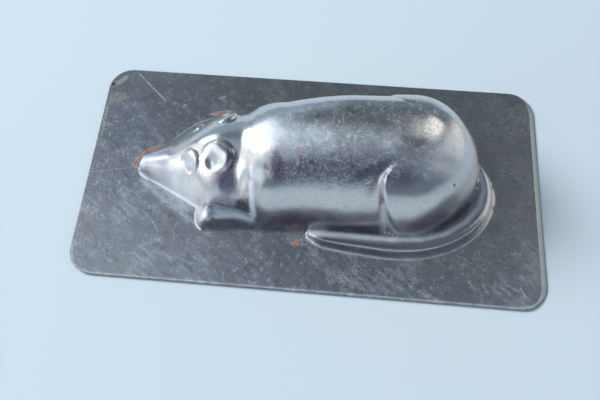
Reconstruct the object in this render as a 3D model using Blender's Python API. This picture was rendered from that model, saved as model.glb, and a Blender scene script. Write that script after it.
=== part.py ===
"""Chocolate mould: one pressed tin sheet with a lying mouse raised in it.

The sheet is a flat plate with rounded corners. Its middle is drawn upwards
into the figure of a mouse: snout, eyes, ears, forearm, thigh, and a tail that
curls round the rump and runs back along the belly. The underside is the
hollow that takes the chocolate. Sizes are millimetres until the last step.
"""

import bpy
import bmesh
import math
import numpy as np

# Sizes of the plate
PLATE_LENGTH = 180.0
PLATE_WIDTH = 90.0
CORNER_RADIUS = 10.0
CORNER_STEPS = 10
SHEET = 0.8

# Sizes of the mouse, which grows and shrinks with the plate
MOUSE_LENGTH = 0.765 * PLATE_LENGTH
MOUSE_WIDTH = 0.70 * PLATE_WIDTH
MOUSE_HEIGHT = 35.0

# The size the figure below is drawn at
DRAWN_LENGTH = 137.7
DRAWN_WIDTH = 63.0
DRAWN_HEIGHT = 35.0

# The body at stations from the snout to the haunch: place along, near foot,
# back line, far foot, height, and how full the section is
STATIONS = (
    ("nose", -69.2, -4.5, -1.2, 5.4, 7.8, 2.3),
    ("snout", -64.0, -5.6, -0.8, 7.2, 8.8, 2.3),
    ("snout", -58.0, -8.2, -0.4, 12.0, 10.6, 2.1),
    ("stop", -55.0, -9.7, 0.1, 15.2, 11.7, 1.9),
    ("stop", -53.0, -10.7, 0.5, 17.1, 12.7, 1.8),
    ("brow", -50.5, -12.0, 1.2, 19.3, 14.4, 1.8),
    ("eyes", -48.0, -13.2, 2.0, 21.0, 16.3, 1.75),
    ("eyes", -44.0, -15.3, 3.0, 23.0, 19.2, 1.7),
    ("crown", -40.0, -17.6, 3.6, 24.6, 21.6, 1.8),
    ("ears", -36.0, -19.0, 4.2, 25.8, 23.4, 1.9),
    ("ears", -32.0, -19.6, 4.5, 26.2, 24.5, 2.0),
    ("neck", -28.0, -19.8, 4.8, 25.9, 25.0, 2.2),
    ("neck", -25.0, -20.0, 5.0, 26.3, 25.4, 2.4),
    ("shoulder", -22.5, -20.9, 5.0, 27.2, 26.3, 2.7),
    ("shoulder", -20.0, -22.4, 5.0, 27.8, 27.5, 3.1),
    ("shoulder", -15.0, -23.3, 5.0, 28.1, 29.9, 3.4),
    ("chest", -10.0, -23.0, 5.0, 27.7, 31.6, 3.5),
    ("chest", -4.0, -22.5, 5.2, 28.9, 33.0, 3.5),
    ("belly", 4.0, -22.2, 6.6, 30.0, 34.0, 3.5),
    ("belly", 14.0, -22.4, 8.0, 30.6, 34.8, 3.5),
    ("belly", 24.0, -22.0, 8.0, 31.2, 35.0, 3.5),
    ("haunch", 36.0, -21.0, 7.4, 32.6, 34.8, 3.5),
)
NOSE_FROM = -64.0
NOSE_END = -69.2
RUMP_END = 67.0
RUMP_TRIM = 2.4
RUMP_TRIM_FROM = -8.0
RUMP_TRIM_OVER = 30.0

# The tail and the forearm as cords: place along, place across, half width,
# height
TAIL = (
    (62.6, 11.0, 3.0, 4.8), (65.8, 5.0, 4.0, 5.8), (67.2, -2.0, 4.4, 6.2),
    (65.6, -9.3, 4.5, 6.3), (60.6, -15.8, 4.6, 6.4), (52.6, -21.2, 4.5, 6.4),
    (43.0, -24.4, 4.4, 6.4), (32.0, -25.4, 4.3, 6.3), (22.0, -25.1, 4.0, 6.1),
    (12.0, -24.5, 3.6, 5.6), (5.0, -23.9, 2.7, 4.8), (2.2, -23.2, 1.8, 3.8),
)
TAIL_SPREAD = 1.7
TAIL_FULLNESS = 2.6
FOREARM = (
    (-37.0, -18.2, 6.2, 9.8), (-31.0, -17.8, 6.0, 10.2), (-26.0, -17.9, 5.5, 9.8),
    (-21.5, -19.3, 4.2, 7.8), (-17.0, -21.6, 1.8, 4.0),
)
FOREARM_FULLNESS = 1.6
PAW = {"at": (-38.2, -19.0), "half": (5.0, 5.6), "height": 8.4, "tilt": 0.7, "turn": 4.0}
PAW_FULLNESS = 3.6
PAW_SQUARE = 2.4
PAW_BLEND = 2.4

# Eyes and ears: raised discs that stand proudest at the back and top, each
# with a small hollow in it
DISCS = (
    {"at": (-33.4, -2.6), "half": (6.1, 4.8), "lift": 2.5, "lean": (0.76, 0.74),
     "pit": (-35.4, -4.2), "pit_radius": 2.8, "pit_depth": 1.1},
    {"at": (-44.5, -3.2), "half": (3.6, 3.9), "lift": 1.4, "lean": (0.75, 0.65),
     "pit": (-44.2, -5.4), "pit_radius": 1.6, "pit_depth": 0.7},
    {"at": (-34.0, 15.4), "half": (5.6, 4.4), "lift": 2.4, "lean": (0.6, 0.2),
     "pit": (-33.0, 16.6), "pit_radius": 3.4, "pit_depth": 2.0},
    {"at": (-45.2, 12.6), "half": (3.2, 3.0), "lift": 1.4, "lean": (0.6, 0.2),
     "pit": (-44.6, 13.4), "pit_radius": 1.6, "pit_depth": 0.8},
)
DISC_EDGE = 0.3

# The thigh: its front edge bows forward, nearest the head at this share of
# the way down the side, and it fades out upwards and over the rump. Shares
# are counted from the back line, 0, to the foot, 1
THIGH_FRONT = 23.4
THIGH_BOW = 0.64
BOW_ABOVE = 110.0
BOW_BELOW = 50.0
THIGH_TOP = 0.35
THIGH_TOP_FADE = 0.28
THIGH_LOW = 0.5
THIGH_LOW_FADE = 0.4
THIGH_LOW_GAIN = 0.5
THIGH_LIFT = 1.9
THIGH_RISE = 0.8
THIGH_STEP = 2.8
THIGH_FADE_FROM = 40.0
THIGH_FADE_OVER = 26.0
GROOVE_DEPTH = 0.7
GROOVE_AHEAD = 1.8
GROOVE_WIDTH = 2.0
GROOVE_TOP = 0.3
GROOVE_LOW = 0.6
GROOVE_FADE = 0.2
FAR_THIGH_LIFT = 0.6
FAR_THIGH_BACK = 3.0

# Where shapes meet: blends, and the fillet at the foot of the walls
LIMB_BLEND = 0.8
FOOT_BLEND = 2.0

# The grid laid over the drawn area, and the facets kept of it on each face
TABLE_CELL = SHEET / 4.0
CELLS_ALONG = 260
CELLS_ACROSS = 130
MARGIN = 1.6
SLIDES = 120
SLIDE_RATE = 0.25
UPPER_FACETS = 5600
UNDER_FACETS = 4600

MM = 0.001


def smooth_step(t):
    """Rises from 0 to 1 without a corner."""
    t = np.clip(t, 0.0, 1.0)
    return t * t * (3.0 - 2.0 * t)


def smooth_max(a, b, blend):
    """The higher of two heights, rounded over where they cross."""
    share = np.clip(0.5 + 0.5 * (a - b) / blend, 0.0, 1.0)
    return b + (a - b) * share + blend * share * (1.0 - share)


def cubic(x, places, values, slopes):
    """A smooth curve with given values and slopes at given places."""
    i = np.clip(np.searchsorted(places, x, side="right") - 1, 0, len(places) - 2)
    span = places[i + 1] - places[i]
    t = (x - places[i]) / span
    start = (1 + 2 * t) * (1 - t) ** 2 * values[i] + t * (1 - t) ** 2 * span * slopes[i]
    end = t * t * (3 - 2 * t) * values[i + 1] + t * t * (t - 1) * span * slopes[i + 1]
    return start + end


def through(x, places, values):
    """A curve through stations that never swings past them."""
    rise = np.diff(values) / np.diff(places)
    slopes = np.zeros_like(values)
    same_way = rise[:-1] * rise[1:] > 0
    total = np.where(same_way, rise[:-1] + rise[1:], 1.0)
    slopes[1:-1] = np.where(same_way, 2 * rise[:-1] * rise[1:] / total, 0.0)
    slopes[0] = rise[0]
    slopes[-1] = rise[-1]
    return cubic(np.clip(x, places[0], places[-1]), places, values, slopes)


def path(points, count):
    """Even steps along a bending line through the given points."""
    points = np.array(points, float)
    steps = np.hypot(np.diff(points[:, 0]), np.diff(points[:, 1]))
    run = np.concatenate([[0.0], np.cumsum(steps)])
    at = np.linspace(0.0, run[-1], count)
    columns = []
    for column in points.T:
        columns.append(cubic(at, run, column, np.gradient(column, run)))
    return np.stack(columns, axis=1)


def wall(reach, fullness):
    """Height share at a reach from 0 (back line) to 1 (foot), and below it."""
    inside = 1.0 - np.clip(reach, 0.0, 1.0) ** fullness
    return np.where(reach < 1.0, inside, 4.0 * (1.0 - reach))


def thigh_lift(x, down, near_side):
    """How far the thigh stands out of the side, behind its bowed front edge."""
    off = down - THIGH_BOW
    front = THIGH_FRONT + np.where(off < 0.0, BOW_ABOVE, BOW_BELOW) * off ** 2
    front = front + np.where(near_side, 0.0, FAR_THIGH_BACK)
    swell = smooth_step((x - front) / THIGH_STEP)
    swell = swell * smooth_step((down - THIGH_TOP) / THIGH_TOP_FADE)
    swell = swell * (1.0 + THIGH_LOW_GAIN * smooth_step((down - THIGH_LOW) / THIGH_LOW_FADE))
    swell = swell * (1.0 - smooth_step((x - THIGH_FADE_FROM) / THIGH_FADE_OVER))
    groove = np.exp(-((x - front + GROOVE_AHEAD) / GROOVE_WIDTH) ** 2)
    groove = groove * smooth_step((down - GROOVE_TOP) / GROOVE_FADE)
    groove = groove * (1.0 - smooth_step((down - GROOVE_LOW) / GROOVE_FADE))
    near_lift = THIGH_LIFT * swell - GROOVE_DEPTH * groove
    return np.where(near_side, near_lift, FAR_THIGH_LIFT * swell)


def body(x, y):
    """The trunk and head: sections through the stations, rounded at both ends."""
    table = np.array([row[1:] for row in STATIONS])
    places = table[:, 0]
    near = through(x, places, table[:, 1])
    back = through(x, places, table[:, 2])
    far = through(x, places, table[:, 3])
    high = through(x, places, table[:, 4])
    fullness = through(x, places, table[:, 5])
    near_side = y < back
    half = np.where(near_side, back - near, far - back)
    lift = thigh_lift(x, np.abs(y - back) / half, near_side)
    across = (y - back) / (half + lift)
    rump_end = RUMP_END - RUMP_TRIM * smooth_step((y - RUMP_TRIM_FROM) / RUMP_TRIM_OVER)
    behind = np.clip((x - places[-1]) / (rump_end - places[-1]), 0.0, None)
    ahead = np.clip((NOSE_FROM - x) / (NOSE_FROM - NOSE_END), 0.0, None)
    reach = np.sqrt(across ** 2 + behind ** 2 + ahead ** 2)
    return (high + THIGH_RISE * lift) * wall(reach, fullness)


def disc(x, y, height, item):
    """A round raised disc with a small hollow, for an eye or an ear."""
    u = (x - item["at"][0]) / item["half"][0]
    v = (y - item["at"][1]) / item["half"][1]
    reach = np.hypot(u, v)
    turned = (u * item["lean"][0] + v * item["lean"][1]) / np.maximum(reach, 1e-6)
    lean = smooth_step(0.5 + 0.5 * turned * np.clip(1.5 * reach, 0.0, 1.0))
    edge = 1.0 - smooth_step((reach - 1.0) / DISC_EDGE + 0.5)
    pit = np.hypot(x - item["pit"][0], y - item["pit"][1]) / item["pit_radius"]
    height = height + item["lift"] * edge * (0.05 + 0.95 * lean)
    return height - item["pit_depth"] * (1.0 - smooth_step(pit))


def cord(x, y, line, spread, fullness):
    """A ridge laid along a line, its half width spread on the line's right."""
    best = np.full(np.shape(x), 1e9)
    place = np.zeros(np.shape(x))
    side = np.zeros(np.shape(x))
    for i in range(len(line) - 1):
        start = line[i, :2]
        run = line[i + 1, :2] - start
        t = ((x - start[0]) * run[0] + (y - start[1]) * run[1]) / (run @ run)
        t = np.clip(t, 0.0, 1.0)
        away = np.hypot(x - start[0] - t * run[0], y - start[1] - t * run[1])
        left = (run[0] * (y - start[1]) - run[1] * (x - start[0])) / math.sqrt(run @ run)
        nearer = away < best
        place = np.where(nearer, i + t, place)
        side = np.where(nearer, -left / np.maximum(away, 1e-6), side)
        best = np.where(nearer, away, best)
    order = np.arange(len(line))
    half = np.interp(place, order, line[:, 2])
    half = half * (1.0 + (spread - 1.0) * smooth_step(side))
    high = np.interp(place, order, line[:, 3])
    return high * wall(best / half, fullness)


def paw(x, y):
    """The blunt paw at the end of the forearm."""
    turn = math.radians(PAW["turn"])
    dx = x - PAW["at"][0]
    dy = y - PAW["at"][1]
    u = (dx * math.cos(turn) + dy * math.sin(turn)) / PAW["half"][0]
    v = (dy * math.cos(turn) - dx * math.sin(turn)) / PAW["half"][1]
    reach = (np.abs(u) ** PAW_SQUARE + np.abs(v) ** PAW_SQUARE) ** (1.0 / PAW_SQUARE)
    high = PAW["height"] + PAW["tilt"] * np.clip(dx, -PAW["half"][0], PAW["half"][0])
    return high * wall(reach, PAW_FULLNESS)


TAIL_LINE = path(TAIL, 40)
FOREARM_LINE = path(FOREARM, 14)


def figure(x, y):
    """Height of the mouse over the plate, at the size it is drawn."""
    height = body(x, y)
    for item in DISCS:
        height = disc(x, y, height, item)
    forearm = cord(x, y, FOREARM_LINE, 1.0, FOREARM_FULLNESS)
    limb = smooth_max(forearm, paw(x, y), PAW_BLEND)
    height = smooth_max(height, limb, LIMB_BLEND)
    tail = cord(x, y, TAIL_LINE, TAIL_SPREAD, TAIL_FULLNESS)
    return smooth_max(height, tail, LIMB_BLEND)


def relief(x, y):
    """Height of the sheet over the plate, nothing where the plate is flat."""
    x = x * (DRAWN_LENGTH / MOUSE_LENGTH)
    y = y * (DRAWN_WIDTH / MOUSE_WIDTH)
    height = figure(x, y) * (MOUSE_HEIGHT / DRAWN_HEIGHT)
    return smooth_max(height, 0.0, FOOT_BLEND)


def drawn_area():
    """The rectangle round all that is raised, with a margin."""
    along = np.linspace(-0.5 * PLATE_LENGTH, 0.5 * PLATE_LENGTH, 361)
    across = np.linspace(-0.5 * PLATE_WIDTH, 0.5 * PLATE_WIDTH, 181)
    x, y = np.meshgrid(along, across, indexing="ij")
    raised = relief(x, y) > 0.0
    left = x[raised].min() - MARGIN
    right = x[raised].max() + MARGIN
    low = y[raised].min() - MARGIN
    top = y[raised].max() + MARGIN
    return left, right, low, top


def upper_table(area):
    """Heights of the upper face on an even grid over the area."""
    left, right, low, top = area
    along = np.linspace(left, right, int((right - left) / TABLE_CELL) + 1)
    across = np.linspace(low, top, int((top - low) / TABLE_CELL) + 1)
    x, y = np.meshgrid(along, across, indexing="ij")
    return relief(x, y)


def under_table(upper):
    """Heights of the hollow: a ball as thick as the sheet rolled below it."""
    reach = int(round(SHEET / TABLE_CELL))
    lowest = upper - SHEET
    for i in range(-reach, reach + 1):
        for j in range(-reach, reach + 1):
            spare = SHEET ** 2 - (i * i + j * j) * TABLE_CELL ** 2
            if spare < -1e-9:
                continue
            touch = np.roll(upper, (i, j), axis=(0, 1)) - math.sqrt(max(spare, 0.0))
            lowest = np.minimum(lowest, touch)
    return lowest + SHEET


def detail_table(heights):
    """How fine the grid should be: small where raised and round bends."""
    hop = 3
    step = hop * TABLE_CELL
    ahead = np.roll(heights, -hop, axis=0)
    behind = np.roll(heights, hop, axis=0)
    left = np.roll(heights, -hop, axis=1)
    right = np.roll(heights, hop, axis=1)
    bend = np.abs(ahead - 2.0 * heights + behind) + np.abs(left - 2.0 * heights + right)
    steep = 1.0 + ((ahead - behind) ** 2 + (left - right) ** 2) / (2.0 * step) ** 2
    bend = bend / step ** 2 / steep ** 1.5
    return 0.3 + 0.9 * (heights > 0.0) + 2.0 * np.clip(bend, 0.0, 0.8)


def lookup(table, area, x, y):
    """Reads a value between the points of an even table over the area."""
    left, right, low, top = area
    u = (x - left) / (right - left) * (table.shape[0] - 1)
    v = (y - low) / (top - low) * (table.shape[1] - 1)
    i = np.clip(u.astype(int), 0, table.shape[0] - 2)
    j = np.clip(v.astype(int), 0, table.shape[1] - 2)
    a = np.clip(u - i, 0.0, 1.0)
    b = np.clip(v - j, 0.0, 1.0)
    start = table[i, j] * (1 - b) + table[i, j + 1] * b
    end = table[i + 1, j] * (1 - b) + table[i + 1, j + 1] * b
    return start * (1 - a) + end * a


def sliding_grid(area, heights):
    """A grid over the area whose points slide to where the sheet is steep."""
    left, right, low, top = area
    needs = detail_table(heights)
    x, y = np.meshgrid(
        np.linspace(left, right, CELLS_ALONG + 1),
        np.linspace(low, top, CELLS_ACROSS + 1), indexing="ij")
    before = (slice(0, -1), slice(None)), (slice(None), slice(0, -1))
    after = (slice(1, None), slice(None)), (slice(None), slice(1, None))
    for _ in range(SLIDES):
        z = lookup(heights, area, x, y)
        need = lookup(needs, area, x, y)
        sum_x = np.zeros_like(x)
        sum_y = np.zeros_like(x)
        pull = np.zeros_like(x)
        for a, b in zip(before, after):
            length = np.sqrt((x[b] - x[a]) ** 2 + (y[b] - y[a]) ** 2 + (z[b] - z[a]) ** 2)
            weight = length * (need[a] + need[b]) * 0.5 + 0.02
            for one, other in ((a, b), (b, a)):
                sum_x[one] += weight * x[other]
                sum_y[one] += weight * y[other]
                pull[one] += weight
        goal_x = sum_x / pull
        goal_y = sum_y / pull
        goal_x[0, :] = left
        goal_x[-1, :] = right
        goal_y[:, 0] = low
        goal_y[:, -1] = top
        x = x + SLIDE_RATE * (goal_x - x)
        y = y + SLIDE_RATE * (goal_y - y)
    return x, y


def drawn_patch(area, heights, facets):
    """The raised area in as few facets as its shape allows: points and faces."""
    x, y = sliding_grid(area, heights)
    z = lookup(heights, area, x, y)
    points = np.stack([x, y, z], axis=-1).reshape(-1, 3)
    order = np.arange(points.shape[0]).reshape(x.shape)
    corners = (order[:-1, :-1], order[1:, :-1], order[1:, 1:], order[:-1, 1:])
    quads = np.stack([corner.ravel() for corner in corners], axis=1)
    mesh = bpy.data.meshes.new("drawn_patch")
    mesh.from_pydata(points.tolist(), [], quads.tolist())
    patch = bpy.data.objects.new("drawn_patch", mesh)
    bpy.context.scene.collection.objects.link(patch)
    thin = patch.modifiers.new("fewer_facets", "DECIMATE")
    thin.ratio = facets / (2.0 * len(quads))
    shown = patch.evaluated_get(bpy.context.evaluated_depsgraph_get()).to_mesh()
    kept = np.zeros(3 * len(shown.vertices))
    shown.vertices.foreach_get("co", kept)
    faces = [tuple(face.vertices) for face in shown.polygons]
    bpy.data.objects.remove(patch, do_unlink=True)
    bpy.data.meshes.remove(mesh)
    kept = kept.reshape(-1, 3)
    kept[np.abs(kept[:, 2]) < 0.004, 2] = 0.0
    return kept, faces


def plate_outline():
    """The rounded rectangle of the plate, anticlockwise."""
    points = []
    for k, (sx, sy) in enumerate(((1, 1), (-1, 1), (-1, -1), (1, -1))):
        cx = sx * (0.5 * PLATE_LENGTH - CORNER_RADIUS)
        cy = sy * (0.5 * PLATE_WIDTH - CORNER_RADIUS)
        for step in range(CORNER_STEPS + 1):
            angle = math.radians(90.0 * k + 90.0 * step / CORNER_STEPS)
            points.append((cx + CORNER_RADIUS * math.cos(angle),
                           cy + CORNER_RADIUS * math.sin(angle)))
    return points


def add_face_of_sheet(bm, points, faces, outline_z, up):
    """One face of the sheet: the drawn area and the flat flange round it."""
    verts = [bm.verts.new(point) for point in points * MM]
    patch = []
    for face in faces:
        corners = [verts[k] for k in face]
        if not up:
            corners.reverse()
        patch.append(bm.faces.new(corners))
    inner = [e for e in {e for f in patch for e in f.edges} if len(e.link_faces) == 1]

    ring = [bm.verts.new((px * MM, py * MM, outline_z * MM)) for px, py in plate_outline()]
    outer = [bm.edges.new((ring[k], ring[(k + 1) % len(ring)])) for k in range(len(ring))]
    filled = bmesh.ops.triangle_fill(bm, edges=inner + outer, use_beauty=True)
    for item in filled["geom"]:
        if isinstance(item, bmesh.types.BMFace):
            item.normal_update()
            if (item.normal.z > 0.0) != up:
                item.normal_flip()
    return ring


def tin_material():
    """Plain tinned steel."""
    material = bpy.data.materials.new("tinned_steel")
    material.use_nodes = True
    shader = material.node_tree.nodes["Principled BSDF"]
    shader.inputs["Base Color"].default_value = (0.58, 0.60, 0.62, 1.0)
    shader.inputs["Metallic"].default_value = 1.0
    shader.inputs["Roughness"].default_value = 0.28
    return material


def mould_sheet():
    """The whole mould: a single pressed sheet, hollow below."""
    area = drawn_area()
    heights = upper_table(area)
    upper, upper_faces = drawn_patch(area, heights, UPPER_FACETS)
    under, under_faces = drawn_patch(area, under_table(heights), UNDER_FACETS)
    upper[:, 2] += SHEET

    bm = bmesh.new()
    top_ring = add_face_of_sheet(bm, upper, upper_faces, SHEET, True)
    low_ring = add_face_of_sheet(bm, under, under_faces, 0.0, False)
    count = len(top_ring)
    for k in range(count):
        n = (k + 1) % count
        bm.faces.new((low_ring[k], low_ring[n], top_ring[n], top_ring[k]))
    bmesh.ops.recalc_face_normals(bm, faces=bm.faces)

    mesh = bpy.data.meshes.new("mould_sheet")
    bm.to_mesh(mesh)
    bm.free()
    mesh.shade_smooth()
    mesh.set_sharp_from_angle(angle=math.radians(40.0))
    mesh.materials.append(tin_material())
    sheet = bpy.data.objects.new("mould_sheet", mesh)
    bpy.context.scene.collection.objects.link(sheet)
    return sheet


def main():
    for item in list(bpy.data.objects):
        bpy.data.objects.remove(item, do_unlink=True)
    sheet = mould_sheet()
    print("mould_sheet", len(sheet.data.polygons), "faces")


main()
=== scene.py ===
# %% [markdown]
# A pressed tin chocolate mould, step by step.
# The real object is one sheet of tinned steel. A press has raised a lying mouse in its
# middle, and the hollow underneath is what the chocolate is poured into. This file gives
# the plain sheet of the CAD model its looks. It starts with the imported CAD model, which
# stays where it is and sets the size and the place of everything below.

# %% Load the frame
import math

import bpy
import numpy as np
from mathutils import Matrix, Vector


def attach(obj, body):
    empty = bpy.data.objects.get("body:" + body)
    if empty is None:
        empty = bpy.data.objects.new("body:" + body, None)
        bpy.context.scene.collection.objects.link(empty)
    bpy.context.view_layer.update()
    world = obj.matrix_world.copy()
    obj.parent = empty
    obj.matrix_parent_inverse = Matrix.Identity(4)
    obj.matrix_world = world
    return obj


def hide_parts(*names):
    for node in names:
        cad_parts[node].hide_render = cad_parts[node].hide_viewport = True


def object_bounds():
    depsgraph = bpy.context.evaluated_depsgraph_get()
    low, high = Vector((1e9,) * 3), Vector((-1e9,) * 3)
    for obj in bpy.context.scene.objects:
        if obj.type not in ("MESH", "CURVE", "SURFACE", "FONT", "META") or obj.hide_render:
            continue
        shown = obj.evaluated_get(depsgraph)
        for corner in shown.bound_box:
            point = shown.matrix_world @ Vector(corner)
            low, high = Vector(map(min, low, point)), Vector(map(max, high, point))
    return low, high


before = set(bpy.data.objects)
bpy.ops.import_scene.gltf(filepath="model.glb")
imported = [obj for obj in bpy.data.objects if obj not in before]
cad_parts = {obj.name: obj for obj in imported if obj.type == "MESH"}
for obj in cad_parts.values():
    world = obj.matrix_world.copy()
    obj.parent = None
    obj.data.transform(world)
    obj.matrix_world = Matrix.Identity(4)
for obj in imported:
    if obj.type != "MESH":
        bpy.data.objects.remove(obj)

cad_low, cad_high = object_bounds()
print("CAD box in mm:", [round(1000 * side, 1) for side in cad_high - cad_low])

# %% [markdown]
# The camera comes first, because the numbers of every later step were matched to the photograph in its
# view.
# The plate is a rectangle with known sides, so its four corners in the picture give the
# camera's place, turn and lens. It stands close above the near long side and looks
# steeply down. Lengths are in millimetres and angles in degrees here and in all tables.

# %% Camera
MM = 0.001
IMAGE_WIDTH = 600
AIM = (-3.281, -9.288, 0.8)
CAMERA_DISTANCE = 187.475
CAMERA_BEARING = 8.242 - 90.0
CAMERA_ELEVATION = 71.198
CAMERA_ROLL = -3.499
FOCAL_PIXELS = 476.47
SENSOR_WIDTH = 36.0
NEAREST_SEEN = 10.0


def towards(bearing, elevation):
    """The direction at a bearing and a height angle, by their sines and cosines."""
    bearing, elevation = math.radians(bearing), math.radians(elevation)
    flat = math.cos(elevation)
    return np.array([math.cos(bearing) * flat, math.sin(bearing) * flat, math.sin(elevation)])


def put(item, bearing, elevation, distance, aim, roll=0.0):
    """Links an object that looks at an aim from a direction and a distance, then rolled."""
    back = towards(bearing, elevation)
    level = np.cross((0.0, 0.0, 1.0), back)
    level = level / np.linalg.norm(level)
    upward = np.cross(back, level)
    roll = math.radians(roll)
    right = level * math.cos(roll) + upward * math.sin(roll)
    up = upward * math.cos(roll) - level * math.sin(roll)
    matrix = np.eye(4)
    matrix[:3, :] = np.stack([right, up, back, (np.array(aim) + back * distance) * MM], axis=1)
    item.matrix_world = matrix.T.tolist()
    bpy.context.scene.collection.objects.link(item)


def make_camera():
    """A camera at the photograph's viewing angle."""
    data = bpy.data.cameras.new("camera")
    data.sensor_width = SENSOR_WIDTH
    data.lens = FOCAL_PIXELS / IMAGE_WIDTH * SENSOR_WIDTH
    data.clip_start = NEAREST_SEEN * MM
    camera = bpy.data.objects.new("camera", data)
    put(camera, CAMERA_BEARING, CAMERA_ELEVATION, CAMERA_DISTANCE, AIM, CAMERA_ROLL)
    bpy.context.scene.camera = camera
    return camera


camera = make_camera()
print("camera at mm:", [round(1000 * part, 1) for part in camera.matrix_world.translation])

# %% [markdown]
# The mouse is a height over the plate. For every place along and across there is just
# one height, because the sheet has to come off the press. So the whole figure can be
# a function of two numbers, worked out for all points at once. It is built from a step
# without corners, a maximum that is rounded over, and curves through given stations.

# %% Curves the heights are made of
OUTSIDE_FALL = 4.0


def smooth_step(t):
    """Three t squared less two t cubed: rises from 0 to 1 without a corner."""
    t = np.clip(t, 0.0, 1.0)
    return t * t * (3.0 - 2.0 * t)


def smooth_max(a, b, blend):
    """The higher of two heights, rounded by a parabola where they are within the blend."""
    share = np.clip(0.5 + 0.5 * (a - b) / blend, 0.0, 1.0)
    return b + (a - b) * share + blend * share * (1.0 - share)


def cubic(x, places, values, slopes):
    """In each span, the values and slopes at its two ends, each weighted by a cubic."""
    i = np.clip(np.searchsorted(places, x, side="right") - 1, 0, len(places) - 2)
    span = places[i + 1] - places[i]
    t = (x - places[i]) / span
    start = (1 + 2 * t) * (1 - t) ** 2 * values[i] + t * (1 - t) ** 2 * span * slopes[i]
    end = t * t * (3 - 2 * t) * values[i + 1] + t * t * (t - 1) * span * slopes[i + 1]
    return start + end


def through(x, places, values):
    """A cubic through stations; its slopes are harmonic means, so it never overshoots."""
    rise = np.diff(values) / np.diff(places)
    slopes = np.zeros_like(values)
    same_way = rise[:-1] * rise[1:] > 0
    total = np.where(same_way, rise[:-1] + rise[1:], 1.0)
    slopes[1:-1] = np.where(same_way, 2 * rise[:-1] * rise[1:] / total, 0.0)
    slopes[0], slopes[-1] = rise[0], rise[-1]
    return cubic(np.clip(x, places[0], places[-1]), places, values, slopes)


def path(points, count):
    """Cubics through the given points, read at even steps of the length along them."""
    points = np.array(points, float)
    steps = np.hypot(np.diff(points[:, 0]), np.diff(points[:, 1]))
    run = np.concatenate([[0.0], np.cumsum(steps)])
    at = np.linspace(0.0, run[-1], count)
    columns = [cubic(at, run, column, np.gradient(column, run)) for column in points.T]
    return np.stack(columns, axis=1)


def wall(reach, fullness):
    """One less the reach to the power fullness; past a reach of 1, a straight fall below 0."""
    inside = 1.0 - np.clip(reach, 0.0, 1.0) ** fullness
    return np.where(reach < 1.0, inside, OUTSIDE_FALL * (1.0 - reach))


print("wall half way down:", round(float(wall(0.5, 2.5)), 3))

# %% [markdown]
# The trunk and the head are one long form, like a loaf. A modeller would draw sections
# through it at a few stations and let a smooth skin run over them. Each station here
# gives its place along, the near foot, the back line, the far foot and the height, in
# millimetres from the middle of the plate, and last how full the section is. The thigh
# is a swelling on the side that starts at a bowed edge with a shallow groove in front.

# %% Trunk, head and thigh
STATIONS = np.array((
    (-69.2, -4.5, -1.2, 5.4, 7.8, 2.3),
    (-64, -5.6, -0.8, 7.2, 8.8, 2.3), (-58, -8.2, -0.4, 12, 10.6, 2.1),
    (-55, -9.7, 0.1, 15.2, 11.7, 1.9), (-53, -10.7, 0.5, 17.1, 12.7, 1.8),
    (-50.5, -12, 1.2, 19.3, 14.4, 1.8), (-48, -13.2, 2, 21, 16.3, 1.75),
    (-44, -15.3, 3, 23, 19.2, 1.7), (-40, -17.6, 3.6, 24.6, 21.6, 1.8),
    (-36, -19, 4.2, 25.8, 23.4, 1.9), (-32, -19.6, 4.5, 26.2, 24.5, 2),
    (-28, -19.8, 4.8, 25.9, 25, 2.2), (-25, -20, 5, 26.3, 25.4, 2.4),
    (-22.5, -20.9, 5, 27.2, 26.3, 2.7), (-20, -22.4, 5, 27.8, 27.5, 3.1),
    (-15, -23.3, 5, 28.1, 29.9, 3.4), (-10, -23, 5, 27.7, 31.6, 3.5),
    (-4, -22.5, 5.2, 28.9, 33, 3.5), (4, -22.2, 6.6, 30, 34, 3.5),
    (14, -22.4, 8, 30.6, 34.8, 3.5), (24, -22, 8, 31.2, 35, 3.5),
    (36, -21, 7.4, 32.6, 34.8, 3.5),
))
NOSE_FROM, NOSE_END = -64.0, -69.2
RUMP_END = 67.0
RUMP_TRIM, RUMP_TRIM_FROM, RUMP_TRIM_OVER = 2.4, -8.0, 30.0
THIGH_FRONT, THIGH_BOW, BOW_ABOVE, BOW_BELOW = 23.4, 0.64, 110.0, 50.0
THIGH_TOP, THIGH_TOP_FADE = 0.35, 0.28
THIGH_LOW, THIGH_LOW_FADE, THIGH_LOW_GAIN, THIGH_RISE = 0.5, 0.4, 0.5, 0.8
THIGH_LIFT, THIGH_STEP, THIGH_FADE_FROM, THIGH_FADE_OVER = 1.9, 2.8, 40.0, 26.0
GROOVE_DEPTH, GROOVE_AHEAD, GROOVE_WIDTH = 0.7, 1.8, 2.0
GROOVE_TOP, GROOVE_LOW, GROOVE_FADE = 0.3, 0.6, 0.2
FAR_THIGH_LIFT, FAR_THIGH_BACK = 0.6, 3.0


def thigh_lift(x, down, near_side):
    """A swelling behind a front edge bowed as a parabola, less a bell-shaped groove ahead."""
    off = down - THIGH_BOW
    front = THIGH_FRONT + np.where(off < 0.0, BOW_ABOVE, BOW_BELOW) * off ** 2
    front = front + np.where(near_side, 0.0, FAR_THIGH_BACK)
    swell = smooth_step((x - front) / THIGH_STEP)
    swell = swell * smooth_step((down - THIGH_TOP) / THIGH_TOP_FADE)
    swell = swell * (1.0 + THIGH_LOW_GAIN * smooth_step((down - THIGH_LOW) / THIGH_LOW_FADE))
    swell = swell * (1.0 - smooth_step((x - THIGH_FADE_FROM) / THIGH_FADE_OVER))
    groove = np.exp(-((x - front + GROOVE_AHEAD) / GROOVE_WIDTH) ** 2)
    groove = groove * smooth_step((down - GROOVE_TOP) / GROOVE_FADE)
    groove = groove * (1.0 - smooth_step((down - GROOVE_LOW) / GROOVE_FADE))
    return np.where(near_side, THIGH_LIFT * swell - GROOVE_DEPTH * groove, FAR_THIGH_LIFT * swell)


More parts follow.
